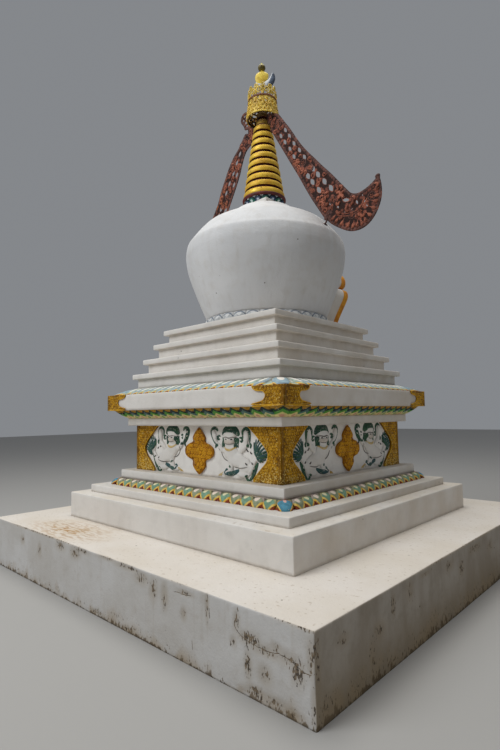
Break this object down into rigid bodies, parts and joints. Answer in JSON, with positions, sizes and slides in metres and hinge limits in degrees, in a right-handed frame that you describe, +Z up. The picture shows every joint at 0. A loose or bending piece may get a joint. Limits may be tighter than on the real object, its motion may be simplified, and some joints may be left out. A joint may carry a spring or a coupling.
{
  "type": "stupa",
  "caption": "White masonry stupa: stepped square throne with lotus bands and relief lions, dome with niche, ringed spire, pierced parasol, moon and sun finial, two metal streamers.",
  "frame": {"origin": "centre of the platform's footprint, at ground level", "axes": "+Z up along the stupa's axis, the side with the niche faces -Y, the streamers lie along X"},
  "size_m": [4.384, 4.384, 5.945],
  "materials": {
    "whitewashed_plaster": "matt",
    "painted_lotus": "matt",
    "gilded_plaster": "satin",
    "painted_lion": "matt",
    "gilded_metal": "satin",
    "maroon_paint": "matt",
    "rusty_copper": "matt",
    "moon_paint": "matt"
  },
  "bodies": {
    "root": {"platform": "whitewashed_plaster", "lower_step": "whitewashed_plaster", "upper_step": "whitewashed_plaster", "throne_base_slab": "whitewashed_plaster", "throne_die": "whitewashed_plaster", "throne_top_slab": "whitewashed_plaster", "cornice_slab": "whitewashed_plaster", "step_1": "whitewashed_plaster", "step_2": "whitewashed_plaster", "step_3": "whitewashed_plaster", "step_4": "whitewashed_plaster", "dome": "whitewashed_plaster", "niche_body": "whitewashed_plaster", "harmika": "whitewashed_plaster", "lower_lotus_band": "painted_lotus", "upper_lotus_band": "painted_lotus", "step_lotus_band": "painted_lotus", "dome_foot_ring": "painted_lotus", "spire_lotus_ring": "painted_lotus", "throne_corner_front_right": "gilded_plaster", "throne_corner_back_right": "gilded_plaster", "throne_corner_back_left": "gilded_plaster", "throne_corner_front_left": "gilded_plaster", "cornice_corner_front_right": "gilded_plaster", "cornice_corner_back_right": "gilded_plaster", "cornice_corner_back_left": "gilded_plaster", "cornice_corner_front_left": "gilded_plaster", "quatrefoil_front": "gilded_plaster", "quatrefoil_right": "gilded_plaster", "quatrefoil_back": "gilded_plaster", "quatrefoil_left": "gilded_plaster", "niche_frame": "gilded_plaster", "snow_lion_front_left": "painted_lion", "snow_lion_front_right": "painted_lion", "snow_lion_right_left": "painted_lion", "snow_lion_right_right": "painted_lion", "snow_lion_back_left": "painted_lion", "snow_lion_back_right": "painted_lion", "snow_lion_left_left": "painted_lion", "snow_lion_left_right": "painted_lion", "spire_rings": "gilded_metal", "parasol_skirt": "gilded_metal", "parasol_crown": "gilded_metal", "parasol_stem": "gilded_metal", "sun_disc": "gilded_metal", "finial_jewel": "gilded_metal", "spire_collar": "maroon_paint", "streamer_left": "rusty_copper", "streamer_right": "rusty_copper", "crescent_moon": "moon_paint"}
  },
  "joints": []
}
